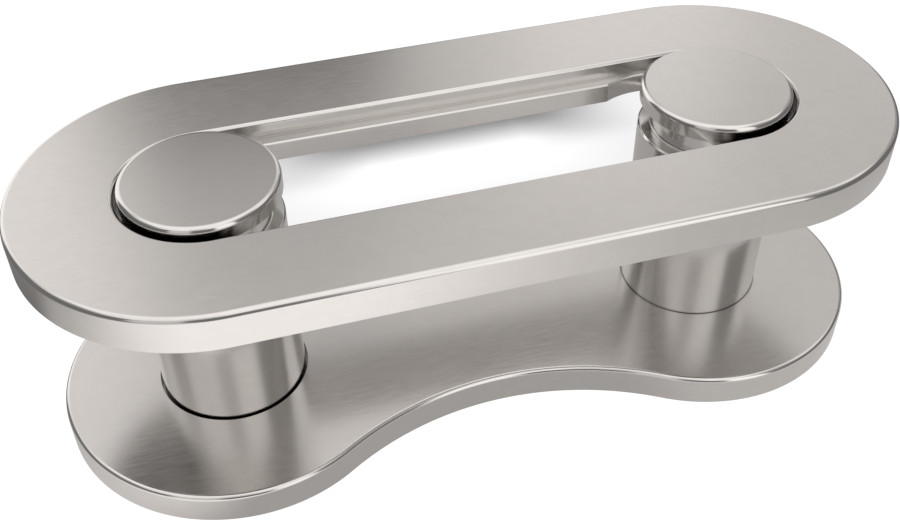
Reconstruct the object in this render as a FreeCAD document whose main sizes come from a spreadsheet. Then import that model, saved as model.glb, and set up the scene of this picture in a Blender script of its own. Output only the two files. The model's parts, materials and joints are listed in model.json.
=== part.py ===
import FreeCAD, Part
import Sketcher
import math
import os

# Keyhole connecting link of a half-inch-pitch roller chain, in millimetres.
# A waisted pin plate carries two grooved pins. A ring-shaped cover plate rests on the pins'
# shoulders, and its ledge lies in their necks, below their heads.
# The link runs along X and stands on the pin plate, so +Z points from the pin plate to the cover.
# The origin is midway between the pins, on the underside of the pin plate.

sizes = {
    # Spacing of the whole link
    "pitch": 12.70,
    "plate_gap": 4.91,
    # Pin plate
    "lobe_radius": 4.26,
    "waist_half_width": 2.44,
    "pin_plate_thickness": 0.86,
    "pin_plate_edge_radius": 0.12,
    "pin_plate_edge_chamfer": 0.05,
    "hole_mouth_chamfer": 0.05,
    # Pins
    "pin_diameter": 3.65,
    "neck_groove_depth": 0.34,
    "neck_root_radius": 0.06,
    "head_thickness": 0.43,
    "head_swell": 0.025,
    "head_chamfer": 0.05,
    "shoulder_chamfer": 0.04,
    "rivet_flare": 0.16,
    "rivet_rim_relief": 0.04,
    # Cover plate
    "cover_end_spacing": 12.60,
    "cover_end_radius": 4.40,
    "cover_thickness": 0.96,
    "cover_edge_radius": 0.13,
    "cover_edge_chamfer": 0.05,
    "recess_depth": 0.44,
    "recess_mouth_chamfer": 0.06,
    "ledge_edge_chamfer": 0.035,
    # Clearances between the cover plate and the pins
    "head_side_clearance": 0.14,
    "neck_side_clearance": 0.19,
    "neck_end_clearance": 0.20,
    "keyhole_clearance": 0.04,
    "keyhole_setback": 1.25,
}

doc = FreeCAD.newDocument("ConnectingLink")
sheet = doc.addObject("Spreadsheet::Sheet", "Sizes")
for row, (alias, value) in enumerate(sizes.items(), start=1):
    sheet.set("A%d" % row, alias)
    sheet.set("B%d" % row, str(value))
    sheet.setAlias("B%d" % row, alias)
doc.recompute()

# A sketch numbers the points of a curve from 1, and its own axes down from -1.
start_point, end_point, centre_point = range(1, 4)
x_axis, y_axis = range(-1, -3, -1)
origin_point = (x_axis, start_point)
tolerance = 1e-6


def new_body(label, x_place, z_place):
    """A body whose place along X and Z is bound to the sheet."""
    body = doc.addObject("PartDesign::Body", label)
    body.Label = label
    body.setExpression("Placement.Base.x", x_place)
    body.setExpression("Placement.Base.z", z_place)
    return body


def new_sketch(body, name, plane, height="0"):
    """A sketch on one of the body's own origin planes, raised along its normal."""
    sketch = body.newObject("Sketcher::SketchObject", name)
    support = [item for item in body.Origin.OriginFeatures if item.Role == plane][0]
    sketch.AttachmentSupport = [(support, "")]
    sketch.MapMode = "FlatFace"
    sketch.setExpression("AttachmentOffset.Base.z", height)
    return sketch


def bind(sketch, name, constraint, expression):
    """Adds a dimension to a sketch, names it and ties it to the sheet."""
    index = sketch.addConstraint(constraint)
    sketch.renameConstraint(index, name)
    sketch.setExpression("Constraints." + name, expression)


def arc(centre_x, centre_y, radius, first_angle, last_angle):
    centre = FreeCAD.Vector(centre_x, centre_y, 0)
    circle = Part.Circle(centre, FreeCAD.Vector(0, 0, 1), radius)
    return Part.ArcOfCircle(circle, first_angle, last_angle)


def line(first_x, first_y, last_x, last_y):
    return Part.LineSegment(FreeCAD.Vector(first_x, first_y, 0), FreeCAD.Vector(last_x, last_y, 0))


def centre_ends(sketch, right_arc, left_arc, spacing, spacing_expression):
    """Two equal end arcs on the X axis, either side of the origin."""
    sketch.addConstraint(Sketcher.Constraint("Equal", right_arc, left_arc))
    sketch.addConstraint(Sketcher.Constraint("PointOnObject", right_arc, centre_point, x_axis))
    sketch.addConstraint(
        Sketcher.Constraint("Symmetric", left_arc, centre_point, right_arc, centre_point, *origin_point))
    apart = Sketcher.Constraint("DistanceX", left_arc, centre_point, right_arc, centre_point, spacing)
    bind(sketch, "end_spacing", apart, spacing_expression)


def join_tangent(sketch, first_curve, first_end, next_curve, next_end):
    sketch.addConstraint(Sketcher.Constraint("Tangent", first_curve, first_end, next_curve, next_end))


def draw_obround(sketch, radius, radius_expression):
    """A slot outline of the cover plate, whose end arcs lie close to the pins' axes."""
    half = sizes["cover_end_spacing"] / 2
    right_arc = sketch.addGeometry(arc(half, 0, radius, -math.pi / 2, math.pi / 2), False)
    far_side = sketch.addGeometry(line(half, radius, -half, radius), False)
    left_arc = sketch.addGeometry(arc(-half, 0, radius, math.pi / 2, 3 * math.pi / 2), False)
    near_side = sketch.addGeometry(line(-half, -radius, half, -radius), False)
    ring = [right_arc, far_side, left_arc, near_side]
    for first_curve, next_curve in zip(ring, ring[1:] + ring[:1]):
        join_tangent(sketch, first_curve, end_point, next_curve, start_point)
    centre_ends(sketch, right_arc, left_arc, 2 * half, "Sizes.cover_end_spacing")
    bind(sketch, "end_radius", Sketcher.Constraint("Radius", right_arc, radius), radius_expression)


def draw_waisted_outline(sketch):
    """Two round lobes joined by a concave arc on each side, tangent all round."""
    half_pitch = sizes["pitch"] / 2
    lobe = sizes["lobe_radius"]
    waist = sizes["waist_half_width"]
    waist_radius = (half_pitch ** 2 + waist ** 2 - lobe ** 2) / (2 * (lobe - waist))
    waist_centre = waist + waist_radius
    lean = math.atan2(waist_centre, half_pitch)
    wrap = math.pi - lean
    right_lobe = sketch.addGeometry(arc(half_pitch, 0, lobe, -wrap, wrap), False)
    left_lobe = sketch.addGeometry(arc(-half_pitch, 0, lobe, math.pi - wrap, math.pi + wrap), False)
    far_waist = sketch.addGeometry(arc(0, waist_centre, waist_radius, lean - math.pi, -lean), False)
    near_waist = sketch.addGeometry(arc(0, -waist_centre, waist_radius, lean, math.pi - lean), False)
    join_tangent(sketch, right_lobe, end_point, far_waist, end_point)
    join_tangent(sketch, far_waist, start_point, left_lobe, start_point)
    join_tangent(sketch, left_lobe, end_point, near_waist, end_point)
    join_tangent(sketch, near_waist, start_point, right_lobe, start_point)
    centre_ends(sketch, right_lobe, left_lobe, sizes["pitch"], "Sizes.pitch")
    sketch.addConstraint(Sketcher.Constraint("Equal", far_waist, near_waist))
    bind(sketch, "lobe_radius", Sketcher.Constraint("Radius", right_lobe, lobe), "Sizes.lobe_radius")
    middle = sketch.addGeometry(Part.Point(FreeCAD.Vector(0, waist, 0)), True)
    sketch.addConstraint(Sketcher.Constraint("PointOnObject", middle, start_point, y_axis))
    sketch.addConstraint(Sketcher.Constraint("PointOnObject", middle, start_point, far_waist))
    half_width = Sketcher.Constraint("DistanceY", *origin_point, middle, start_point, waist)
    bind(sketch, "waist_half_width", half_width, "Sizes.waist_half_width")


def draw_circle(sketch, name, centre_x, centre_expression, radius, radius_expression):
    """A circle on the X axis, with its place and radius tied to the sheet."""
    centre = FreeCAD.Vector(centre_x, 0, 0)
    circle = sketch.addGeometry(Part.Circle(centre, FreeCAD.Vector(0, 0, 1), radius), False)
    sketch.addConstraint(Sketcher.Constraint("PointOnObject", circle, centre_point, x_axis))
    if centre_x > 0:
        place = Sketcher.Constraint("DistanceX", *origin_point, circle, centre_point, centre_x)
    else:
        place = Sketcher.Constraint("DistanceX", circle, centre_point, *origin_point, -centre_x)
    bind(sketch, name + "_place", place, centre_expression)
    bind(sketch, name + "_radius", Sketcher.Constraint("Radius", circle, radius), radius_expression)


def pad(body, name, sketch, thickness_expression):
    feature = body.newObject("PartDesign::Pad", name)
    feature.Profile = sketch
    feature.setExpression("Length", thickness_expression)
    sketch.Visibility = False
    doc.recompute()
    return feature


def pocket(body, name, sketch, depth_expression, upwards):
    """Cuts a sketch out of the body, up from its underside or down from its top."""
    volume_before = body.Shape.Volume
    feature = body.newObject("PartDesign::Pocket", name)
    feature.Profile = sketch
    feature.Reversed = upwards
    feature.setExpression("Length", depth_expression)
    sketch.Visibility = False
    doc.recompute()
    if body.Shape.Volume >= volume_before - tolerance:
        raise RuntimeError(name + " cuts nothing")
    return feature


def flat_wires(shape, height):
    """The outer and the inner wires of the widest level face at one height."""
    faces = []
    for face in shape.Faces:
        if face.BoundBox.ZLength < tolerance and abs(face.BoundBox.ZMin - height) < tolerance:
            faces.append(face)
    widest = max(faces, key=lambda face: face.BoundBox.XLength)
    inner = [wire for wire in widest.Wires if not wire.isSame(widest.OuterWire)]
    return widest.OuterWire, inner


def edge_names(shape, wires):
    wanted = [edge for wire in wires for edge in wire.Edges]
    names = []
    for index, edge in enumerate(shape.Edges, start=1):
        if any(edge.isSame(other) for other in wanted):
            names.append("Edge%d" % index)
    return names


def circle_names(shape, radius, height):
    """Names of the round edges of one radius at one height."""
    names = []
    for index, edge in enumerate(shape.Edges, start=1):
        if not isinstance(edge.Curve, Part.Circle):
            continue
        same_radius = abs(edge.Curve.Radius - radius) < tolerance
        if same_radius and abs(edge.Curve.Center.z - height) < tolerance:
            names.append("Edge%d" % index)
    return names


def dress_edges(body, kind, name, edges, size_name, expression):
    """A fillet or a chamfer on named edges of the body's last feature."""
    if not edges:
        raise RuntimeError(name + " has no edges")
    base = body.Tip
    feature = body.newObject("PartDesign::" + kind, name)
    feature.Base = (base, edges)
    feature.setExpression(size_name, expression)
    doc.recompute()
    return feature


def dress_outline(body, top, name, radius_expression, chamfer_expression):
    """The edges of a stamped plate: rolled round on its top, deburred on its underside."""
    upper_edges = edge_names(body.Tip.Shape, [flat_wires(body.Tip.Shape, top)[0]])
    dress_edges(body, "Fillet", name + "Rolled", upper_edges, "Radius", radius_expression)
    lower_edges = edge_names(body.Tip.Shape, [flat_wires(body.Tip.Shape, 0)[0]])
    dress_edges(body, "Chamfer", name + "Deburred", lower_edges, "Size", chamfer_expression)


def make_pin_plate():
    """A stamped plate with two round lobes, a waist and a countersunk hole at each pin."""
    half_pitch = sizes["pitch"] / 2
    pin_radius = sizes["pin_diameter"] / 2
    top = sizes["pin_plate_thickness"]
    body = new_body("pin_plate", "0", "0")

    outline = new_sketch(body, "PlateOutline", "XY_Plane")
    draw_waisted_outline(outline)
    pad(body, "PlateBlank", outline, "Sizes.pin_plate_thickness")

    holes = new_sketch(body, "PinHoles", "XY_Plane")
    for side, place in (("left", -half_pitch), ("right", half_pitch)):
        draw_circle(holes, side, place, "Sizes.pitch / 2", pin_radius, "Sizes.pin_diameter / 2")
    pocket(body, "PinHolePair", holes, "Sizes.pin_plate_thickness", upwards=True)

    dress_outline(body, top, "PlateEdges", "Sizes.pin_plate_edge_radius", "Sizes.pin_plate_edge_chamfer")
    dress_edges(body, "Chamfer", "HoleMouths", circle_names(body.Tip.Shape, pin_radius, top),
                "Size", "Sizes.hole_mouth_chamfer")
    dress_edges(body, "Chamfer", "RivetSeats", circle_names(body.Tip.Shape, pin_radius, 0),
                "Size", "Sizes.rivet_flare")
    return body


shoulder_height = "(Sizes.pin_plate_thickness + Sizes.plate_gap)"
ledge_thickness = "(Sizes.cover_thickness - Sizes.recess_depth)"
head_height = "(%s + %s + Sizes.neck_end_clearance)" % (shoulder_height, ledge_thickness)
pin_height = "(%s + Sizes.head_thickness)" % head_height
pin_wall = "(Sizes.pin_diameter / 2)"
head_wall = "(Sizes.pin_diameter / 2 + Sizes.head_swell)"
neck_wall = "(Sizes.pin_diameter / 2 - Sizes.neck_groove_depth)"
rivet_wall = "(Sizes.pin_diameter / 2 + Sizes.rivet_flare - Sizes.rivet_rim_relief)"


def pin_profile():
    """Corners of half the pin's section, as radius and height, each with its expression."""
    pin_radius = sizes["pin_diameter"] / 2
    neck_radius = pin_radius - sizes["neck_groove_depth"]
    head_radius = pin_radius + sizes["head_swell"]
    rivet_radius = pin_radius + sizes["rivet_flare"] - sizes["rivet_rim_relief"]
    shoulder = sizes["pin_plate_thickness"] + sizes["plate_gap"]
    head = shoulder + sizes["cover_thickness"] - sizes["recess_depth"] + sizes["neck_end_clearance"]
    top = head + sizes["head_thickness"]
    return [
        (0, "0", 0, "0"),
        (rivet_radius, rivet_wall, 0, "0"),
        (rivet_radius, rivet_wall, sizes["rivet_rim_relief"], "Sizes.rivet_rim_relief"),
        (pin_radius, pin_wall, sizes["rivet_flare"], "Sizes.rivet_flare"),
        (pin_radius, pin_wall, shoulder, shoulder_height),
        (neck_radius, neck_wall, shoulder, shoulder_height),
        (neck_radius, neck_wall, head, head_height),
        (head_radius, head_wall, head, head_height),
        (head_radius, head_wall, top, pin_height),
        (0, "0", top, pin_height),
    ]


def draw_profile(sketch, corners):
    """A closed outline through the corners, each held at its own radius and height."""
    count = len(corners)
    for index, (radius, _, height, _) in enumerate(corners):
        next_radius, _, next_height, _ = corners[(index + 1) % count]
        sketch.addGeometry(line(radius, height, next_radius, next_height), False)
    for index in range(count):
        sketch.addConstraint(
            Sketcher.Constraint("Coincident", index, end_point, (index + 1) % count, start_point))
    for index, (radius, radius_expression, height, height_expression) in enumerate(corners):
        if radius > 0:
            across = Sketcher.Constraint("DistanceX", *origin_point, index, start_point, radius)
            bind(sketch, "radius_%d" % index, across, radius_expression)
        else:
            sketch.addConstraint(Sketcher.Constraint("PointOnObject", index, start_point, y_axis))
        if height > 0:
            upward = Sketcher.Constraint("DistanceY", *origin_point, index, start_point, height)
            bind(sketch, "height_%d" % index, upward, height_expression)
        else:
            sketch.addConstraint(Sketcher.Constraint("PointOnObject", index, start_point, x_axis))


def make_pin(label, x_place):
    """A turned pin, flared into the pin plate below and necked for the cover plate above."""
    pin_radius = sizes["pin_diameter"] / 2
    neck_radius = pin_radius - sizes["neck_groove_depth"]
    corners = pin_profile()
    shoulder = corners[4][2]
    head = corners[7][2]
    top = corners[8][2]
    body = new_body(label, x_place, "0")

    profile = new_sketch(body, "PinProfile", "XZ_Plane")
    draw_profile(profile, corners)
    turned = body.newObject("PartDesign::Revolution", "TurnedPin")
    turned.Profile = profile
    turned.ReferenceAxis = (profile, ["V_Axis"])
    turned.Angle = 360
    profile.Visibility = False
    doc.recompute()

    head_radius = pin_radius + sizes["head_swell"]
    dress_edges(body, "Chamfer", "HeadRim", circle_names(body.Tip.Shape, head_radius, top),
                "Size", "Sizes.head_chamfer")
    dress_edges(body, "Chamfer", "ShoulderRim", circle_names(body.Tip.Shape, pin_radius, shoulder),
                "Size", "Sizes.shoulder_chamfer")
    lower_root = circle_names(body.Tip.Shape, neck_radius, shoulder)
    upper_root = circle_names(body.Tip.Shape, neck_radius, head)
    dress_edges(body, "Fillet", "NeckRoots", lower_root + upper_root,
                "Radius", "Sizes.neck_root_radius")
    return body


def make_cover_plate():
    """An obround ring with a long recess for the heads, a ledge below it and one keyhole."""
    half_pitch = sizes["pitch"] / 2
    top = sizes["cover_thickness"]
    floor = top - sizes["recess_depth"]
    pin_radius = sizes["pin_diameter"] / 2
    head_radius = pin_radius + sizes["head_swell"]
    recess_radius = head_radius + sizes["head_side_clearance"]
    slot_radius = pin_radius - sizes["neck_groove_depth"] + sizes["neck_side_clearance"]
    keyhole_radius = head_radius + sizes["keyhole_clearance"]
    body = new_body("cover_plate", "0", shoulder_height)

    outline = new_sketch(body, "CoverOutline", "XY_Plane")
    draw_obround(outline, sizes["cover_end_radius"], "Sizes.cover_end_radius")
    pad(body, "CoverBlank", outline, "Sizes.cover_thickness")

    recess = new_sketch(body, "HeadRecess", "XY_Plane", "Sizes.cover_thickness")
    draw_obround(recess, recess_radius, head_wall + " + Sizes.head_side_clearance")
    pocket(body, "HeadRecessCut", recess, "Sizes.recess_depth", upwards=False)

    slot = new_sketch(body, "NeckSlot", "XY_Plane")
    draw_obround(slot, slot_radius, neck_wall + " + Sizes.neck_side_clearance")
    pocket(body, "NeckSlotCut", slot, "Sizes.cover_thickness", upwards=True)

    keyhole = new_sketch(body, "Keyhole", "XY_Plane")
    draw_circle(keyhole, "keyhole", half_pitch - sizes["keyhole_setback"],
                "Sizes.pitch / 2 - Sizes.keyhole_setback",
                keyhole_radius, head_wall + " + Sizes.keyhole_clearance")
    pocket(body, "KeyholeCut", keyhole, "Sizes.cover_thickness", upwards=True)

    dress_outline(body, top, "CoverEdges", "Sizes.cover_edge_radius", "Sizes.cover_edge_chamfer")
    recess_mouth = flat_wires(body.Tip.Shape, top)[1]
    dress_edges(body, "Chamfer", "RecessMouth", edge_names(body.Tip.Shape, recess_mouth),
                "Size", "Sizes.recess_mouth_chamfer")
    ledge_edge = flat_wires(body.Tip.Shape, floor)[1]
    dress_edges(body, "Chamfer", "LedgeEdge", edge_names(body.Tip.Shape, ledge_edge),
                "Size", "Sizes.ledge_edge_chamfer")
    return body


bodies = [
    make_pin_plate(),
    make_pin("left_pin", "-Sizes.pitch / 2"),
    make_pin("right_pin", "Sizes.pitch / 2"),
    make_cover_plate(),
]
doc.recompute()

for item in doc.Objects:
    if "Invalid" in item.State or "Error" in item.State:
        raise RuntimeError(item.Name + " failed: " + ", ".join(item.State))
for body in bodies:
    if body.Shape.isNull() or not body.Shape.isValid():
        raise RuntimeError(body.Label + " has no valid shape")

os.makedirs("parts", exist_ok=True)
for body in bodies:
    body.Shape.exportStep("parts/%s.step" % body.Label)
    print(body.Label, round(body.Shape.Volume, 3), "mm3", len(body.Shape.Solids), "solid")
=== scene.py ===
import bpy
import bmesh
import json
from math import asin, atan2, cos, hypot, pi, radians, sin, tan
from mathutils import Euler, Matrix, Vector
from mathutils.geometry import tessellate_polygon


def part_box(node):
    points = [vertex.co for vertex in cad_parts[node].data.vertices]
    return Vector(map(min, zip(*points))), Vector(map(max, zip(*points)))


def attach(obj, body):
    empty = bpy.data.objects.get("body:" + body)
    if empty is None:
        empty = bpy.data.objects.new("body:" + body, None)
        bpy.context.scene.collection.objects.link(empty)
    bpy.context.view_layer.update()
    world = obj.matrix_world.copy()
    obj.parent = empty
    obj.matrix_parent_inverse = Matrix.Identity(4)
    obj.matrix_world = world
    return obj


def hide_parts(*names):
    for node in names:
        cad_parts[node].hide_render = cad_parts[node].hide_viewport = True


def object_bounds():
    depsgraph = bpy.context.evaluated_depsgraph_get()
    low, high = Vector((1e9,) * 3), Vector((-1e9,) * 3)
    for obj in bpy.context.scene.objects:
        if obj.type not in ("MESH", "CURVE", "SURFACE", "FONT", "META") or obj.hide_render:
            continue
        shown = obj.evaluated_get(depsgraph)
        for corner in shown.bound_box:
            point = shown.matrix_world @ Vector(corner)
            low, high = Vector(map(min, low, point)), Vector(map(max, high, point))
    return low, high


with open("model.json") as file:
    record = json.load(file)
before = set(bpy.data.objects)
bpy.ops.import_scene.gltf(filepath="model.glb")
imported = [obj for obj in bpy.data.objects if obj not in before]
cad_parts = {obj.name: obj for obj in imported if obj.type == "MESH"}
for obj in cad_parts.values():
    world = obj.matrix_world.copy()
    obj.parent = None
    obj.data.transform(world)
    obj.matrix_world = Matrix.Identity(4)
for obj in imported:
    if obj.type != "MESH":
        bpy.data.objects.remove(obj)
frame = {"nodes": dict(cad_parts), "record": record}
cadLow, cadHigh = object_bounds()
print("frame loaded:", ", ".join(sorted(frame["nodes"])))

mm = 0.001             # the shapes are drawn in millimetres, as the link is measured
sameSpot = 1e-7        # points nearer to each other than this are one
headOverhang = 0.025   # a head reaches this far past its pin, on the radius
scene = bpy.context.scene


def boxInMillimetres(node):
    low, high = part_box(node)
    return low / mm, high / mm


def mountNamed(name):
    return next(mount for mount in frame["record"]["mounts"] if mount["name"] == name)


coverLow, coverHigh = boxInMillimetres("cover_plate")
plateLow, plateHigh = boxInMillimetres("pin_plate")
pinLow, pinHigh = boxInMillimetres("right_pin")
journal = mountNamed("right_journal")

link = {
    "halfPitch": journal["pos_m"][0] / mm,
    "pinRadius": journal["dims"]["r_mm"],
    "headRadius": journal["dims"]["r_mm"] + headOverhang,
    "plateTop": plateHigh.z,
    "coverBottom": coverLow.z,
    "coverTop": coverHigh.z,
    "headTop": pinHigh.z,
    # sizes that more than one piece needs
    "neckDepth": 0.34,
    "rivetFlare": 0.16,
    "undersideChamfer": 0.05,
    "softEdge": 0.012,              # rounding of an edge that looks sharp
    "flatMargin": 0.004,            # flat metal between a rounding and a wide face
}


# Outlines. Each is a function of an offset, so that one outline serves a whole wall with its edges.
# A point knows the wall's direction just before it and just after it, for the corners of the keyhole.
# An arc with a facing of -1 is hollow.

def arcPoints(centreX, centreY, radius, firstAngle, lastAngle, steps, facing=1):
    points = []
    for step in range(steps + 1):
        angle = firstAngle + (lastAngle - firstAngle) * step / steps
        points.append((centreX + radius * cos(angle), centreY + radius * sin(angle),
                       facing * cos(angle), facing * sin(angle)))
    return points


def joinSections(sections):
    loop = []
    for section in sections:
        for x, y, outX, outY in section:
            if loop and hypot(loop[-1]["x"] - x, loop[-1]["y"] - y) < sameSpot:
                loop[-1]["after"] = (outX, outY)
            else:
                loop.append({"x": x, "y": y, "before": (outX, outY), "after": (outX, outY)})
    if hypot(loop[-1]["x"] - loop[0]["x"], loop[-1]["y"] - loop[0]["y"]) < sameSpot:
        loop[0]["before"] = loop.pop()["before"]
    return loop


def circleOutline(centreX, radius, steps=192):
    def outline(offset):
        return joinSections([arcPoints(centreX, 0, radius + offset, 0, 2 * pi, steps)])
    return outline


def obroundOutline(halfSpacing, radius, steps=112):
    def outline(offset):
        size = radius + offset
        return joinSections([
            arcPoints(halfSpacing, 0, size, -pi / 2, pi / 2, steps),
            arcPoints(-halfSpacing, 0, size, pi / 2, 3 * pi / 2, steps),
        ])
    return outline


def keyholeOutline(halfSpacing, radius, holeX, holeRadius, endSteps=80, holeSteps=40):
    def outline(offset):
        size, hole = radius + offset, holeRadius + offset
        corner = asin(size / hole)          # where the round hole meets the straight side
        return joinSections([
            arcPoints(halfSpacing, 0, size, -pi / 2, pi / 2, endSteps),
            [(holeX + hole * cos(corner), size, 0, 1)],
            arcPoints(holeX, 0, hole, corner, pi - corner, holeSteps),
            [(holeX - hole * cos(corner), size, 0, 1)],
            arcPoints(-halfSpacing, 0, size, pi / 2, 3 * pi / 2, endSteps),
            [(holeX - hole * cos(corner), -size, 0, -1)],
            arcPoints(holeX, 0, hole, pi + corner, 2 * pi - corner, holeSteps),
            [(holeX + hole * cos(corner), -size, 0, -1)],
        ])
    return outline


def waistedOutline(halfPitch, lobe, waist, lobeSteps=150, waistSteps=60):
    bow = (halfPitch ** 2 + waist ** 2 - lobe ** 2) / (2 * (lobe - waist))
    lean = atan2(waist + bow, halfPitch)

    def outline(offset):
        return joinSections([
            arcPoints(halfPitch, 0, lobe + offset, lean - pi, pi - lean, lobeSteps),
            arcPoints(0, waist + bow, bow - offset, -lean, lean - pi, waistSteps, -1),
            arcPoints(-halfPitch, 0, lobe + offset, lean, 2 * pi - lean, lobeSteps),
            arcPoints(0, -waist - bow, bow - offset, pi - lean, lean, waistSteps, -1),
        ])
    return outline


# Walls. A profile is a row of corners (offset, height, rounding), from the top of a wall to its bottom.
# It comes back as points with their facing and a mask, which is 1 on outer roundings and narrow bevels.
# The side is 1 for an outer wall and -1 for the wall of a hole.

def turnedVector(vector, angle):
    return Vector((vector.x * cos(angle) - vector.y * sin(angle),
                   vector.x * sin(angle) + vector.y * cos(angle)))


narrowBevel = 0.16     # a bevel narrower than this is polished all over


def softProfile(corners, side=1, steps=8):
    places = [Vector(corner[:2]) for corner in corners]
    runs = [(after - before).normalized() for before, after in zip(places, places[1:])]
    faces = [Vector((-run.y, run.x)) * side for run in runs]
    shares = [1.0 if (after - before).length < narrowBevel and 0 < index < len(runs) - 1 else 0.0
              for index, (before, after) in enumerate(zip(places, places[1:]))]
    points = [(places[0], faces[0], shares[0])]
    for index in range(1, len(places) - 1):
        rounding = corners[index][2]
        first, last = faces[index - 1], faces[index]
        turn = atan2(first.cross(last), first.dot(last))
        cut = rounding * tan(abs(turn) / 2)
        bulge = 1 if turn * side < 0 else -1
        start = places[index] - runs[index - 1] * cut
        centre = start - first * rounding * bulge
        for step in range(steps + 1):
            share = step / steps
            facing = turnedVector(first, turn * share)
            mask = shares[index - 1] * (1 - share) + shares[index] * share
            worn = sin(pi * share) if bulge > 0 else 0.0
            points.append((centre + facing * rounding * bulge, facing, max(mask, worn)))
    points.append((places[-1], faces[-1], shares[-1]))
    return points


# Shells. Every corner of a face carries its own exact normal, so the metal shades as the real form.

def newShell():
    return {"points": [], "masks": [], "faces": [], "normals": []}


def addFace(shell, corners, normals):
    a, b, c = (Vector(shell["points"][corner]) for corner in corners[:3])
    if (b - a).cross(c - b).dot(normals[0] + normals[1] + normals[2]) < 0:
        corners, normals = corners[::-1], normals[::-1]
    shell["faces"].append(corners)
    shell["normals"].extend(normals)


def addLoop(shell, loop, height, mask):
    first = len(shell["points"])
    shell["points"].extend((point["x"], point["y"], height) for point in loop)
    shell["masks"].extend([mask] * len(loop))
    return list(range(first, len(shell["points"])))


def sweepWall(shell, outline, profile, side=1):
    loops = [outline(place.x) for place, facing, mask in profile]
    rings = [addLoop(shell, loop, place.y, mask) for loop, (place, facing, mask) in zip(loops, profile)]
    count = len(rings[0])
    for row in range(len(rings) - 1):
        facings = [profile[row][1], profile[row + 1][1]]
        if (profile[row][0] - profile[row + 1][0]).length < sameSpot:
            continue
        for index in range(count):
            following = (index + 1) % count
            corners, normals = [], []
            for level, spot, key in ((0, index, "after"), (0, following, "before"),
                                     (1, following, "before"), (1, index, "after")):
                out = loops[row + level][spot][key]
                facing = facings[level]
                corners.append(rings[row + level][spot])
                normals.append(Vector((out[0] * facing.x, out[1] * facing.x, facing.y)))
            addFace(shell, corners, normals)
    return rings[0], rings[-1]


def bridgeRings(shell, outer, inner, up):
    count = len(outer)
    for index in range(count):
        following = (index + 1) % count
        corners = [outer[index], outer[following], inner[following], inner[index]]
        addFace(shell, corners, [Vector((0, 0, up))] * 4)


def fillRings(shell, rings, up):
    loops = [[Vector(shell["points"][spot]) for spot in ring] for ring in rings]
    spots = [spot for ring in rings for spot in ring]
    for triangle in tessellate_polygon(loops):
        addFace(shell, [spots[corner] for corner in triangle], [Vector((0, 0, up))] * 3)


def makePiece(name, shell, node, material):
    mesh = bpy.data.meshes.new(name)
    mesh.from_pydata([Vector(point) * mm for point in shell["points"]], [], shell["faces"])
    mesh.attributes.new("edgePolish", "FLOAT", "POINT").data.foreach_set("value", shell["masks"])
    mesh.polygons.foreach_set("use_smooth", [True] * len(mesh.polygons))
    mesh.normals_split_custom_set([normal.normalized() for normal in shell["normals"]])
    mesh.materials.append(material)
    piece = bpy.data.objects.new(name, mesh)
    scene.collection.objects.link(piece)
    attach(piece, "root")
    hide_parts(node)
    print("made", name, "with", len(mesh.polygons), "faces")


# Node helpers

def addNode(tree, kind, values=None, **settings):
    node = tree.nodes.new(kind)
    for key, value in settings.items():
        setattr(node, key, value)
    for socket, value in (values or {}).items():
        if isinstance(value, bpy.types.NodeSocket):
            tree.links.new(value, node.inputs[socket])
        else:
            node.inputs[socket].default_value = value
    return node


def mathNode(tree, operation, *values, clamp=False):
    node = addNode(tree, "ShaderNodeMath", dict(enumerate(values)), operation=operation, use_clamp=clamp)
    return node.outputs[0]


def mixed(tree, kind, factor, first, second):
    sockets = {"FLOAT": (2, 3, 0), "RGBA": (6, 7, 2)}[kind]     # the Mix node's own numbers: A, B, Result
    values = {0: factor, sockets[0]: first, sockets[1]: second}
    return addNode(tree, "ShaderNodeMix", values, data_type=kind).outputs[sockets[2]]


def remapped(tree, value, fromLow, fromHigh, toLow, toHigh):
    values = {0: value, 1: fromLow, 2: fromHigh, 3: toLow, 4: toHigh}
    return addNode(tree, "ShaderNodeMapRange", values).outputs[0]


def newGroup(name, inputs, outputs):
    tree = bpy.data.node_groups.new(name, "ShaderNodeTree")
    for label, kind, value in inputs:
        socket = tree.interface.new_socket(label, in_out="INPUT", socket_type="NodeSocket" + kind)
        if value is not None:
            socket.default_value = value
    for label, kind in outputs:
        tree.interface.new_socket(label, in_out="OUTPUT", socket_type="NodeSocket" + kind)
    return tree, tree.nodes.new("NodeGroupInput").outputs, tree.nodes.new("NodeGroupOutput").inputs


def useGroup(tree, group, values):
    return addNode(tree, "ShaderNodeGroup", values, node_tree=group).outputs


# Effects shared by the metals. Places and patch sizes are in millimetres, the painted crevice shade's reach
# in metres.

grainNoise = {"Scale": 1.0, "Detail": 3.0, "Roughness": 0.62}
mottleNoise = {"Detail": 4.0, "Roughness": 0.55}

scratchShape = {
    "stretch": (0.55, 9.0, 9.0),      # changes per millimetre, along and across a scratch
    "lineNoise": {"Scale": 1.0, "Detail": 1.0, "Roughness": 0.4},
    "placeNoise": {"Scale": 0.9, "Detail": 1.0},
    "placeFrom": 0.48,                # where that noise starts to let scratches show
    "placeTo": 0.62,
    "fewest": 0.80,                   # line noise above this is a scratch at an amount of 0
    "most": 0.62,                     # and above this at an amount of 1
    "fade": 0.05,                     # a scratch is at its full depth this far above
}

edgeWear = {"cloudLow": 0.25, "cloudHigh": 0.75, "leastPolish": 0.65}
# The painted crevice shade darkens the colour where ambient occlusion sees little open sky.
crevice = {"samples": 16, "openAbove": 0.62, "closedBelow": 0.2}   # shares of open sky


def makeGrainGroup():
    tree, given, put = newGroup(
        "brushedGrain",
        [("Place", "Vector", None), ("Lines Per Millimetre", "Vector", (1, 1, 1))],
        [("Grain", "Float")])
    spread = addNode(tree, "ShaderNodeVectorMath",
                     {0: given["Place"], 1: given["Lines Per Millimetre"]}, operation="MULTIPLY")
    noise = addNode(tree, "ShaderNodeTexNoise", {"Vector": spread.outputs[0], **grainNoise})
    tree.links.new(noise.outputs[0], put["Grain"])
    return tree


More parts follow.
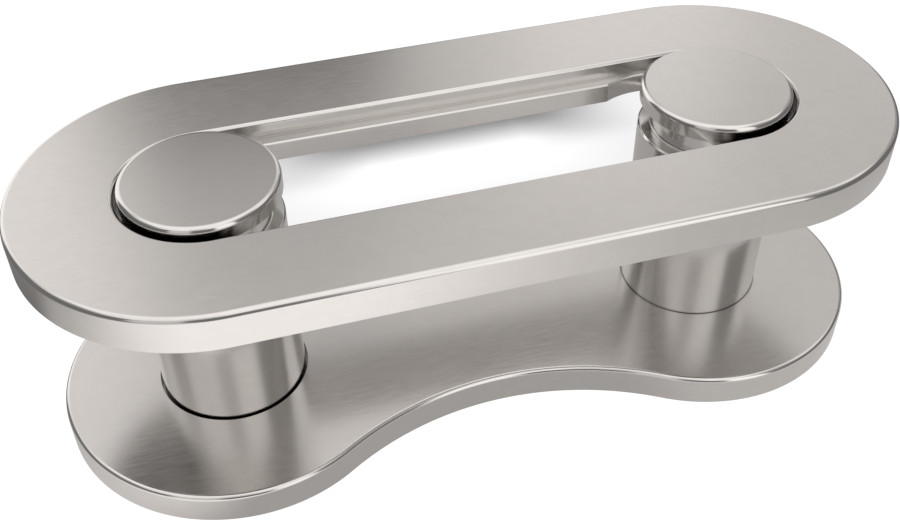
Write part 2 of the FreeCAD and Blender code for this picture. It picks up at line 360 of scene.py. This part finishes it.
def makeMottleGroup():
    tree, given, put = newGroup(
        "softMottle",
        [("Place", "Vector", None), ("Patch Size", "Float", 1.0), ("Sharpness", "Float", 0.2)],
        [("Mottle", "Float")])
    scale = mathNode(tree, "DIVIDE", 1.0, given["Patch Size"])
    noise = addNode(tree, "ShaderNodeTexNoise", {"Vector": given["Place"], "Scale": scale, **mottleNoise})
    low = mathNode(tree, "SUBTRACT", 0.5, given["Sharpness"])
    high = mathNode(tree, "ADD", 0.5, given["Sharpness"])
    tree.links.new(remapped(tree, noise.outputs[0], low, high, 0.0, 1.0), put["Mottle"])
    return tree


def makeScratchGroup():
    shape = scratchShape
    tree, given, put = newGroup(
        "hairScratches",
        [("Place", "Vector", None), ("Turn", "Float", 0.0), ("Amount", "Float", 0.5)],
        [("Scratches", "Float")])
    turned = addNode(tree, "ShaderNodeVectorRotate",
                     {"Vector": given["Place"], "Angle": given["Turn"]}, rotation_type="Z_AXIS")
    stretched = addNode(tree, "ShaderNodeVectorMath",
                        {0: turned.outputs[0], 1: shape["stretch"]}, operation="MULTIPLY")
    lines = addNode(tree, "ShaderNodeTexNoise", {"Vector": stretched.outputs[0], **shape["lineNoise"]})
    rare = addNode(tree, "ShaderNodeTexNoise", {"Vector": given["Place"], **shape["placeNoise"]})
    limit = remapped(tree, given["Amount"], 0.0, 1.0, shape["fewest"], shape["most"])
    ends = mathNode(tree, "ADD", limit, shape["fade"])
    thin = remapped(tree, lines.outputs[0], limit, ends, 0.0, 1.0)
    here = remapped(tree, rare.outputs[0], shape["placeFrom"], shape["placeTo"], 0.0, 1.0)
    tree.links.new(mathNode(tree, "MULTIPLY", thin, here), put["Scratches"])
    return tree


def makeEdgeGroup():
    tree, given, put = newGroup(
        "polishedEdge",
        [("Edge", "Float", 0.0), ("Breakup", "Float", 0.5), ("Strength", "Float", 1.0)],
        [("Polish", "Float")])
    uneven = remapped(tree, given["Breakup"], edgeWear["cloudLow"], edgeWear["cloudHigh"],
                      edgeWear["leastPolish"], 1.0)
    worn = mathNode(tree, "MULTIPLY", given["Edge"], uneven)
    tree.links.new(mathNode(tree, "MULTIPLY", worn, given["Strength"], clamp=True), put["Polish"])
    return tree


# Painted shade: the colour goes dark where ambient occlusion finds a spot closed in, as in the narrow gaps.
def makeCreviceShadeGroup():
    tree, given, put = newGroup("paintedCreviceShade", [("Reach", "Float", 0.0003)], [("Painted Shade", "Float")])
    openness = addNode(tree, "ShaderNodeAmbientOcclusion", {"Distance": given["Reach"]},
                       samples=crevice["samples"]).outputs["AO"]
    paintedShade = remapped(tree, openness, crevice["openAbove"], crevice["closedBelow"], 0.0, 1.0)
    tree.links.new(paintedShade, put["Painted Shade"])
    return tree


grainGroup = makeGrainGroup()
mottleGroup = makeMottleGroup()
scratchGroup = makeScratchGroup()
edgeGroup = makeEdgeGroup()
creviceShadeGroup = makeCreviceShadeGroup()


def newMaterial(name):
    material = bpy.data.materials.new(name)
    material.use_nodes = True
    material.node_tree.nodes.clear()
    return material, material.node_tree


def placeInMillimetres(tree):
    spot = addNode(tree, "ShaderNodeTexCoord").outputs["Object"]
    return addNode(tree, "ShaderNodeVectorMath", {0: spot, "Scale": 1 / mm}, operation="SCALE").outputs[0]


def steelMaterial(name, look, grainOf):
    material, tree = newMaterial(name)
    place = placeInMillimetres(tree)
    edge = addNode(tree, "ShaderNodeAttribute", attribute_name="edgePolish").outputs["Fac"]
    grain = grainOf(tree, place)
    clouds = useGroup(tree, mottleGroup, {"Place": place, "Patch Size": look["cloudSize"],
                                          "Sharpness": look["cloudSharpness"]})["Mottle"]
    specks = useGroup(tree, mottleGroup, {"Place": place, "Patch Size": look["speckSize"],
                                          "Sharpness": look["speckSharpness"]})["Mottle"]
    scratches = useGroup(tree, scratchGroup, {"Place": place, "Turn": look["scratchTurn"],
                                              "Amount": look["scratchAmount"]})["Scratches"]
    polish = useGroup(tree, edgeGroup, {"Edge": edge, "Breakup": clouds})["Polish"]
    tone = mixed(tree, "FLOAT", look["speckShare"], clouds, specks)
    colour = mixed(tree, "RGBA", tone, look["darkColour"], look["lightColour"])
    scored = mathNode(tree, "MULTIPLY", scratches, look["scratchTint"])
    colour = mixed(tree, "RGBA", scored, colour, look["scratchColour"])
    colour = mixed(tree, "RGBA", polish, colour, look["edgeColour"])
    # painted shade in the narrow gaps, from ambient occlusion
    paintedShade = useGroup(tree, creviceShadeGroup, {"Reach": look["paintedShadeReach"] * mm})["Painted Shade"]
    shadeAmount = mathNode(tree, "MULTIPLY", paintedShade, look["paintedShadeDepth"])
    colour = mixed(tree, "RGBA", shadeAmount, colour, look["paintedShadeColour"])
    roughness = remapped(tree, grain, look["grainLow"], look["grainHigh"],
                         look["roughness"] - look["grainSpread"], look["roughness"] + look["grainSpread"])
    uneven = remapped(tree, clouds, 0, 1, -look["cloudSpread"], look["cloudSpread"])
    roughness = mathNode(tree, "ADD", roughness, uneven)
    roughness = mixed(tree, "FLOAT", polish, roughness, look["edgeRoughness"])
    height = mathNode(tree, "SUBTRACT", grain, mathNode(tree, "MULTIPLY", scratches, look["scratchDepth"]))
    bump = addNode(tree, "ShaderNodeBump",
                   {"Strength": look["bumpStrength"], "Distance": look["grainDepth"] * mm, "Height": height})
    shader = addNode(tree, "ShaderNodeBsdfPrincipled",
                     {"Base Color": colour, "Roughness": roughness, "Metallic": 1.0,
                      "Normal": bump.outputs[0]})
    addNode(tree, "ShaderNodeOutputMaterial", {"Surface": shader.outputs[0]})
    return material


def flatAndWallGrain(look):
    def grainOf(tree, place):
        lying = useGroup(tree, grainGroup, {"Place": place, "Lines Per Millimetre": look["topLines"]})
        standing = useGroup(tree, grainGroup, {"Place": place, "Lines Per Millimetre": look["wallLines"]})
        facing = addNode(tree, "ShaderNodeNewGeometry").outputs["Normal"]
        upward = addNode(tree, "ShaderNodeSeparateXYZ", {0: facing}).outputs["Z"]
        steep = mathNode(tree, "ABSOLUTE", upward)
        flat = remapped(tree, steep, look["wallBelow"], look["flatAbove"], 0.0, 1.0)
        return mixed(tree, "FLOAT", flat, standing["Grain"], lying["Grain"])
    return grainOf


def turnedGrain(look, centreX):
    def grainOf(tree, place):
        fromAxis = addNode(tree, "ShaderNodeVectorMath",
                           {0: place, 1: (centreX, 0, 0)}, operation="SUBTRACT")
        parts = addNode(tree, "ShaderNodeSeparateXYZ", {0: fromAxis.outputs[0]})
        across = addNode(tree, "ShaderNodeCombineXYZ", {"X": parts.outputs["X"], "Y": parts.outputs["Y"]})
        radius = addNode(tree, "ShaderNodeVectorMath", {0: across.outputs[0]}, operation="LENGTH").outputs[1]
        angle = mathNode(tree, "ABSOLUTE", mathNode(tree, "ARCTAN2", parts.outputs["Y"], parts.outputs["X"]))
        spot = addNode(tree, "ShaderNodeCombineXYZ", {"X": radius, "Y": parts.outputs["Z"], "Z": angle})
        return useGroup(tree, grainGroup, {"Place": spot.outputs[0],
                                           "Lines Per Millimetre": look["toolLines"]})["Grain"]
    return grainOf


coverSteel = {
    "lightColour": (0.735, 0.722, 0.706, 1),
    "darkColour": (0.700, 0.687, 0.672, 1),
    "scratchColour": (0.82, 0.81, 0.80, 1),
    "edgeColour": (0.86, 0.86, 0.85, 1),
    # colour, reach and strength of the painted shade in the narrow gaps
    "paintedShadeColour": (0.16, 0.15, 0.14, 1),
    "paintedShadeReach": 0.45,              # millimetres, as the other lengths here
    "paintedShadeDepth": 0.8,
    "roughness": 0.185,
    "grainSpread": 0.03,
    "edgeRoughness": 0.11,
    "grainLow": 0.3,                # the grain noise between these two spreads the roughness
    "grainHigh": 0.7,
    "cloudSize": 2.2,
    "cloudSharpness": 0.22,
    "cloudSpread": 0.012,
    "speckSize": 0.35,
    "speckSharpness": 0.18,
    "speckShare": 0.5,
    "scratchTurn": 0.35,            # radians from the long side
    "scratchAmount": 0.3,
    "scratchTint": 0.5,
    "scratchDepth": 0.6,            # against the grain's
    "bumpStrength": 0.26,
    "grainDepth": 0.0006,
    "topLines": (1.6, 15.0, 15.0),  # grain lines per millimetre along X, Y and Z
    "wallLines": (0.4, 0.4, 20.0),
    "wallBelow": 0.3,               # up or down part of the normal, which tells walls from flats
    "flatAbove": 0.8,
}

plateSteel = dict(coverSteel, roughness=0.20, scratchTurn=-0.5, scratchAmount=0.25,
                  lightColour=(0.730, 0.717, 0.702, 1), darkColour=(0.695, 0.682, 0.668, 1))

pinSteel = dict(coverSteel, roughness=0.15, edgeRoughness=0.10, scratchTurn=1.2, scratchAmount=0.2,
                lightColour=(0.700, 0.690, 0.676, 1), darkColour=(0.670, 0.660, 0.646, 1),
                toolLines=(12.0, 12.0, 0.6))      # per millimetre of radius and height, and per radian


# Cover plate: an obround ring with a recess for the heads, a ledge under it and one keyhole

coverPlate = {
    "endSpacing": 12.60,            # from the centre of one round end to the other
    "edgeRadius": 0.13,
    "recessDepth": 0.44,
    "recessClearance": 0.14,        # round a head
    "mouthChamfer": 0.06,
    "mouthRounding": 0.045,
    "rootRadius": 0.008,
    "ledgeChamfer": 0.035,
    "slotClearance": 0.19,          # at each side of a neck
    "keyholeClearance": 0.04,       # round a head that passes through
    "keyholeSetback": 1.25,         # from the right pin towards the middle
}


def buildCoverPlate():
    size = coverPlate
    top, bottom = link["coverTop"], link["coverBottom"]
    floor = top - size["recessDepth"]
    rim, chamfer = size["edgeRadius"], link["undersideChamfer"]
    soft, margin = link["softEdge"], link["flatMargin"]
    halfSpacing = size["endSpacing"] / 2
    outer = obroundOutline(halfSpacing, coverHigh.y)
    recess = obroundOutline(halfSpacing, link["headRadius"] + size["recessClearance"])
    slot = keyholeOutline(halfSpacing, link["pinRadius"] - link["neckDepth"] + size["slotClearance"],
                          link["halfPitch"] - size["keyholeSetback"],
                          link["headRadius"] + size["keyholeClearance"])
    shell = newShell()
    outerTop, outerBottom = sweepWall(shell, outer, softProfile([
        (-rim - margin, top, 0),
        (0, top, rim),
        (0, bottom + chamfer, soft),
        (-chamfer, bottom, soft),
        (-chamfer - 2 * soft, bottom, 0),
    ]))
    mouth, rounding, root = size["mouthChamfer"], size["mouthRounding"], size["rootRadius"]
    recessTop, recessFloor = sweepWall(shell, recess, softProfile([
        (mouth + 2 * rounding, top, 0),
        (mouth, top, rounding),
        (0, top - mouth, rounding),
        (0, floor, root),
        (-root - margin, floor, 0),
    ], side=-1))
    ledge = size["ledgeChamfer"]
    slotTop, slotBottom = sweepWall(shell, slot, softProfile([
        (ledge + margin, floor, 0),
        (ledge, floor, soft / 2),
        (0, floor - ledge, soft / 2),
        (0, bottom, 2 * soft),
        (4 * soft, bottom, 0),
    ], side=-1))
    bridgeRings(shell, outerTop, recessTop, 1)
    fillRings(shell, [recessFloor, slotTop], 1)
    fillRings(shell, [outerBottom, slotBottom], -1)
    steel = steelMaterial("coverSteel", coverSteel, flatAndWallGrain(coverSteel))
    makePiece("coverPlate", shell, "cover_plate", steel)


# Pin plate: two round lobes and a waist, with a narrow groove round each pin

pinPlate = {
    "lobeRadius": 4.26,
    "waistHalfWidth": 2.44,
    "edgeRadius": 0.12,
    "leftGroove": {"side": -1, "width": 0.048, "depth": 0.22, "rounding": 0.018},
    "rightGroove": {"side": 1, "width": 0.018, "depth": 0.014, "rounding": 0.006},
    "grooveRoot": 0.005,
}


def buildPinPlate():
    size = pinPlate
    top, bottom = link["plateTop"], plateLow.z
    rim, chamfer, flare = size["edgeRadius"], link["undersideChamfer"], link["rivetFlare"]
    root, soft, margin = size["grooveRoot"], link["softEdge"], link["flatMargin"]
    outer = waistedOutline(link["halfPitch"], size["lobeRadius"], size["waistHalfWidth"])
    shell = newShell()
    outerTop, outerBottom = sweepWall(shell, outer, softProfile([
        (-rim - margin, top, 0),
        (0, top, rim),
        (0, bottom + chamfer, soft),
        (-chamfer, bottom, soft),
        (-chamfer - 2 * soft, bottom, 0),
    ]))
    topRings, bottomRings = [outerTop], [outerBottom]
    for groove in (size["leftGroove"], size["rightGroove"]):
        width, floor, mouth = groove["width"], top - groove["depth"], groove["rounding"]
        hole = circleOutline(groove["side"] * link["halfPitch"], link["pinRadius"])
        holeTop, holeBottom = sweepWall(shell, hole, softProfile([
            (width + mouth + margin, top, 0),
            (width, top, mouth),
            (width, floor, root),
            (0, floor, root),
            (0, bottom + flare, root),
            (flare, bottom, soft),
            (flare + 2 * soft, bottom, 0),
        ], side=-1))
        topRings.append(holeTop)
        bottomRings.append(holeBottom)
    fillRings(shell, topRings, 1)
    fillRings(shell, bottomRings, -1)
    steel = steelMaterial("plateSteel", plateSteel, flatAndWallGrain(plateSteel))
    makePiece("pinPlate", shell, "pin_plate", steel)


# Pins: turned, necked below the head, and flared into the pin plate

pin = {
    "headThickness": 0.43,
    "headRounding": 0.13,
    "neckRoot": 0.06,
    "shoulderChamfer": 0.04,
    "shoulderRounding": 0.015,
    "rivetRelief": 0.04,
    "faceInset": 0.16,              # an end's plain middle is this much smaller than the end
}


def buildPin(name, node, side):
    size = pin
    radius, headRadius = link["pinRadius"], link["headRadius"]
    top, shoulder = link["headTop"], link["coverBottom"]
    neck, head = radius - link["neckDepth"], top - size["headThickness"]
    flare, relief, soft = link["rivetFlare"], size["rivetRelief"], link["softEdge"]
    rivet = radius + flare - relief
    chamfer, rounding = size["shoulderChamfer"], size["shoulderRounding"]
    centreX = side * link["halfPitch"]
    shell = newShell()
    face, foot = sweepWall(shell, circleOutline(centreX, 0), softProfile([
        (headRadius - size["faceInset"], top, 0),
        (headRadius, top, size["headRounding"]),
        (headRadius, head, soft),
        (neck, head, size["neckRoot"]),
        (neck, shoulder, size["neckRoot"]),
        (radius - chamfer, shoulder, rounding),
        (radius, shoulder - chamfer, rounding),
        (radius, pinLow.z + flare, soft),
        (rivet, pinLow.z + relief, soft),
        (rivet, pinLow.z, soft),
        (rivet - size["faceInset"], pinLow.z, 0),
    ]))
    fillRings(shell, [face], 1)
    fillRings(shell, [foot], -1)
    steel = steelMaterial(name + "Steel", pinSteel, turnedGrain(pinSteel, centreX))
    makePiece(name, shell, node, steel)


buildCoverPlate()
buildPinPlate()
buildPin("leftPin", "left_pin", -1)
buildPin("rightPin", "right_pin", 1)


# Camera

photoCamera = {
    "place": (-6.540, -21.173, 22.408),   # millimetres, fitted to the photo's edges
    "tiltDown": 41.587,            # degrees, as the next two
    "heading": -15.832,
    "roll": -0.748,
    "focalPixels": 1145.0,
    "photoWidth": 900,
    "sensorWidth": 36,
    "nearest": 0.0005,             # metres
    "farthest": 1.0,
}


def makeCamera():
    lens = bpy.data.cameras.new("photoCamera")
    camera = bpy.data.objects.new("photoCamera", lens)
    scene.collection.objects.link(camera)
    scene.camera = camera
    camera.location = Vector(photoCamera["place"]) * mm
    turn = Euler((radians(90 - photoCamera["tiltDown"]), 0, radians(photoCamera["heading"]))).to_matrix()
    camera.rotation_euler = (turn @ Matrix.Rotation(radians(photoCamera["roll"]), 3, "Z")).to_euler()
    lens.sensor_width = photoCamera["sensorWidth"]
    lens.lens = photoCamera["focalPixels"] / photoCamera["photoWidth"] * photoCamera["sensorWidth"]
    lens.clip_start, lens.clip_end = photoCamera["nearest"], photoCamera["farthest"]
    print("camera placed")


# Studio: a pale floor, a dark tent with soft light panels round the link, and two lamps for the floor.
# A panel's corners are (azimuth, elevation) in degrees, seen from the link: azimuth runs from +Y over +X,
# from -50 to 310, and what lies below the horizon is on the floor. A panel is laid over those before it.

wide = 400             # a panel or patch that ends here has no end on that side

tent = {
    "radius": 1.2,                  # metres
    "segments": 64,
    "rings": 32,
    "eyeHeight": 0.006,             # metres; the panels' corners are seen from here
    "firstAzimuth": -50,
    "lastAzimuth": 310,
    "level": 0.17,                  # where no panel is
    "lightColour": (1.0, 0.963, 0.940, 1),
}

panels = {
    "ceiling": {"low": (-wide, 58), "high": (wide, wide), "softness": (1, 6), "level": 1.05},
    "upperBand": {"low": (-wide, 36.5), "high": (wide, 58), "softness": (1, 6), "level": 0.80},
    "upperLeftCorner": {"low": (-wide, 41), "high": (-40, 47), "softness": (3, 3), "level": 0.50},
    "upperBackLeft": {"low": (-38, 34), "high": (-4, 44), "softness": (5, 6), "level": 0.98},
    "upperLeftGlow": {"low": (-wide, 49), "high": (-22, 62), "softness": (6, 3), "level": 1.05},
    "upperBack": {"low": (-4, 37), "high": (12.5, 60), "softness": (4, 6), "level": 0.55},
    "upperBackRight": {"low": (12.5, 36.5), "high": (50, 60), "softness": (3.5, 6), "level": 0.67},
    "ceilingBack": {"low": (-20, 50), "high": (60, 62), "softness": (8, 3), "level": 1.0},
    "upperRight": {"low": (55, 36.5), "high": (97, 60), "softness": (5, 6), "level": 0.90},
    "upperRightShade": {"low": (102, 34), "high": (143, 54), "softness": (5, 6), "level": 0.34},
    "upperFrontGlow": {"low": (148, 34), "high": (184, 60), "softness": (5, 6), "level": 0.97},
    "upperFrontShade": {"low": (186, 36.5), "high": (208, 54), "softness": (6, 6), "level": 0.66},
    "upperFrontLeft": {"low": (210, 36.5), "high": (254, 60), "softness": (6, 6), "level": 0.92},
    "upperLeftShade": {"low": (260, 36.5), "high": (286, 48), "softness": (5, 5), "level": 0.40},
    "leftGlow": {"low": (266, 49), "high": (wide, 62), "softness": (5, 3), "level": 1.05},
    "backLeftWall": {"low": (-46, -15), "high": (-5, 36.5), "softness": (4.5, 6), "level": 1.08},
    "backRightWall": {"low": (12.5, 5), "high": (48, 36.5), "softness": (3, 6), "level": 0.70},
    "backRightGlow": {"low": (19.5, 5), "high": (32, 36.5), "softness": (3.5, 6), "level": 0.92},
    "rightWall": {"low": (48, 14), "high": (75, 36.5), "softness": (6, 6), "level": 0.38},
    "frontRightGlow": {"low": (146, -15), "high": (172.5, 36.5), "softness": (3, 6), "level": 1.12},
    "frontLeftGlow": {"low": (203, -15), "high": (231, 36.5), "softness": (3, 6), "level": 0.62},
    "floorRound": {"low": (-wide, -wide), "high": (wide, -17), "softness": (1, 5), "level": 0.47},
    "floorLeft": {"low": (274, -50), "high": (wide, -17), "softness": (6, 6), "level": 0.18},
    "floorRight": {"low": (85, -47), "high": (165, -17), "softness": (15, 6), "level": 0.60},
    "floorPool": {"low": (167, -33), "high": (250, -14), "softness": (28, 4), "level": 1.20},
}

# A lamp's spread is half its width and half its height, in degrees as seen from the link.
lamps = {
    "overheadLamp": {"azimuth": 180, "elevation": 76, "distance": 0.3, "spread": (24, 24), "level": 0.4},
    "stripLamp": {"azimuth": 192, "elevation": 38.2, "distance": 1.0, "spread": (10, 2.5), "level": 200},
}

floorLook = {
    "halfSize": 1.3,                # metres
    "drop": 0.00002,                # metres below the link's underside
    "diffuseColour": (0.80, 0.80, 0.80, 1),
    "shownLevel": 1.05,             # the plain white that the camera sees
    "shownShare": 0.84,             # of that white, and the rest is the paper's own shading
    "shadowShare": 0.10,            # of it where the shadow shows fully, behind the link
    "shadowStart": (-3.2, 8),       # millimetres, as the next two
    "shadowEnd": (7.0, wide),
    "shadowSoftness": (2.2, 0.6),
}


def makePatchGroup():
    tree, given, put = newGroup(
        "softPatch",
        [("Place", "Vector", None), ("Low Corner", "Vector", (0, 0, 0)),
         ("High Corner", "Vector", (1, 1, 0)), ("Softness", "Vector", (1, 1, 0))],
        [("Mask", "Float")])
    sides = []
    for corner, before, after in (("Low Corner", 0, 1), ("High Corner", 1, 0)):
        start, end = (addNode(tree, "ShaderNodeVectorMath", {0: given[corner], 1: given["Softness"]},
                              operation=way).outputs[0] for way in ("SUBTRACT", "ADD"))
        # the vector sockets of Map Range: Vector, From Min, From Max, To Min, To Max
        values = {6: given["Place"], 7: start, 8: end, 9: (before,) * 3, 10: (after,) * 3}
        sides.append(addNode(tree, "ShaderNodeMapRange", values, data_type="FLOAT_VECTOR",
                             interpolation_type="SMOOTHSTEP").outputs[1])
    both = addNode(tree, "ShaderNodeVectorMath", dict(enumerate(sides)), operation="MULTIPLY").outputs[0]
    parts = addNode(tree, "ShaderNodeSeparateXYZ", {0: both}).outputs
    tree.links.new(mathNode(tree, "MULTIPLY", parts["X"], parts["Y"]), put["Mask"])
    return tree


def studioLevel(tree, group):
    spot = addNode(tree, "ShaderNodeNewGeometry").outputs["Position"]
    direction = addNode(tree, "ShaderNodeVectorMath", {0: spot, 1: (0, 0, tent["eyeHeight"])},
                        operation="SUBTRACT").outputs[0]
    direction = addNode(tree, "ShaderNodeVectorMath", {0: direction}, operation="NORMALIZE").outputs[0]
    parts = addNode(tree, "ShaderNodeSeparateXYZ", {0: direction}).outputs
    azimuth = mathNode(tree, "DEGREES", mathNode(tree, "ARCTAN2", parts["X"], parts["Y"]))
    azimuth = mathNode(tree, "WRAP", azimuth, tent["lastAzimuth"], tent["firstAzimuth"])
    elevation = mathNode(tree, "DEGREES", mathNode(tree, "ARCSINE", parts["Z"]))
    place = addNode(tree, "ShaderNodeCombineXYZ", {"X": azimuth, "Y": elevation}).outputs[0]
    level = tent["level"]
    for panel in panels.values():
        mask = useGroup(tree, group, {"Place": place, "Low Corner": (*panel["low"], 0),
                                      "High Corner": (*panel["high"], 0),
                                      "Softness": (*panel["softness"], 0)})["Mask"]
        level = mixed(tree, "FLOAT", mask, level, panel["level"])
    return level


def makeTent(group):
    material, tree = newMaterial("tentCloth")
    glow = addNode(tree, "ShaderNodeEmission", {"Color": tent["lightColour"],
                                                "Strength": studioLevel(tree, group)})
    addNode(tree, "ShaderNodeOutputMaterial", {"Surface": glow.outputs[0]})
    material.cycles.emission_sampling = "NONE"
    shape = bmesh.new()
    bmesh.ops.create_uvsphere(shape, u_segments=tent["segments"], v_segments=tent["rings"],
                              radius=tent["radius"])
    mesh = bpy.data.meshes.new("lightTent")
    shape.to_mesh(mesh)
    shape.free()
    mesh.materials.append(material)
    dome = bpy.data.objects.new("lightTent", mesh)
    dome.visible_camera = False
    dome.visible_shadow = False
    dome.visible_diffuse = False
    scene.collection.objects.link(dome)
    print("tent made with", len(panels), "panels")


def makeLamp(name, lamp):
    azimuth, elevation = radians(lamp["azimuth"]), radians(lamp["elevation"])
    toLamp = Vector((sin(azimuth) * cos(elevation), cos(azimuth) * cos(elevation), sin(elevation)))
    light = bpy.data.lights.new(name, "AREA")
    light.shape = "RECTANGLE"
    light.size, light.size_y = (2 * lamp["distance"] * tan(radians(side)) for side in lamp["spread"])
    light.energy = lamp["level"] * pi * light.size * light.size_y
    holder = bpy.data.objects.new(name, light)
    holder.location = toLamp * lamp["distance"]
    holder.rotation_euler = toLamp.to_track_quat("Z", "Y").to_euler()
    holder.visible_camera = False
    holder.visible_glossy = False
    scene.collection.objects.link(holder)
    print("hung", name)


def makeFloor(group):
    look = floorLook
    material, tree = newMaterial("floorPaper")
    ray = addNode(tree, "ShaderNodeLightPath").outputs
    # In reflections the floor glows with the panels below the horizon: a painted pool of light in front of
    # the link, and painted shade round and under it.
    level = mixed(tree, "FLOAT", ray["Is Glossy Ray"], look["shownLevel"], studioLevel(tree, group))
    seen = mathNode(tree, "ADD", ray["Is Camera Ray"], ray["Is Transmission Ray"])
    behind = useGroup(tree, group, {"Place": placeInMillimetres(tree),
                                    "Low Corner": (*look["shadowStart"], 0),
                                    "High Corner": (*look["shadowEnd"], 0),
                                    "Softness": (*look["shadowSoftness"], 0)})["Mask"]
    shown = mixed(tree, "FLOAT", behind, look["shownShare"], look["shadowShare"])
    shown = mathNode(tree, "MULTIPLY", seen, shown)
    share = mathNode(tree, "ADD", shown, ray["Is Glossy Ray"], clamp=True)
    paper = addNode(tree, "ShaderNodeBsdfDiffuse", {"Color": look["diffuseColour"]})
    tint = mixed(tree, "RGBA", ray["Is Glossy Ray"], (1, 1, 1, 1), tent["lightColour"])
    glow = addNode(tree, "ShaderNodeEmission", {"Color": tint, "Strength": level})
    above = addNode(tree, "ShaderNodeMixShader", {0: share, 1: paper.outputs[0], 2: glow.outputs[0]})
    clear = addNode(tree, "ShaderNodeBsdfTransparent")
    below = addNode(tree, "ShaderNodeNewGeometry").outputs["Backfacing"]
    both = addNode(tree, "ShaderNodeMixShader", {0: below, 1: above.outputs[0], 2: clear.outputs[0]})
    addNode(tree, "ShaderNodeOutputMaterial", {"Surface": both.outputs[0]})
    material.cycles.emission_sampling = "NONE"
    reach = look["halfSize"]
    mesh = bpy.data.meshes.new("studioFloor")
    corners = [(-reach, -reach, 0), (reach, -reach, 0), (reach, reach, 0), (-reach, reach, 0)]
    mesh.from_pydata(corners, [], [(0, 1, 2, 3)])
    mesh.materials.append(material)
    floor = bpy.data.objects.new("studioFloor", mesh)
    floor.location.z = cadLow.z - look["drop"]
    scene.collection.objects.link(floor)
    print("floor laid")


whiteStudio = {"seenLevel": 1.0, "ambientLevel": 0.10}


def makeWorld():
    world = bpy.data.worlds.new("whiteStudio")
    world.use_nodes = True
    tree = world.node_tree
    tree.nodes.clear()
    ray = addNode(tree, "ShaderNodeLightPath").outputs
    seen = mathNode(tree, "ADD", ray["Is Camera Ray"], ray["Is Glossy Ray"])
    seen = mathNode(tree, "ADD", seen, ray["Is Transmission Ray"], clamp=True)
    level = remapped(tree, seen, 0.0, 1.0, whiteStudio["ambientLevel"], whiteStudio["seenLevel"])
    background = addNode(tree, "ShaderNodeBackground", {"Color": (1, 1, 1, 1), "Strength": level})
    addNode(tree, "ShaderNodeOutputWorld", {"Surface": background.outputs[0]})
    scene.world = world
    print("world set")


patchGroup = makePatchGroup()
makeCamera()
makeTent(patchGroup)
for lampName, lampLook in lamps.items():
    makeLamp(lampName, lampLook)
makeFloor(patchGroup)
makeWorld()
scene.view_settings.view_transform = "Standard"
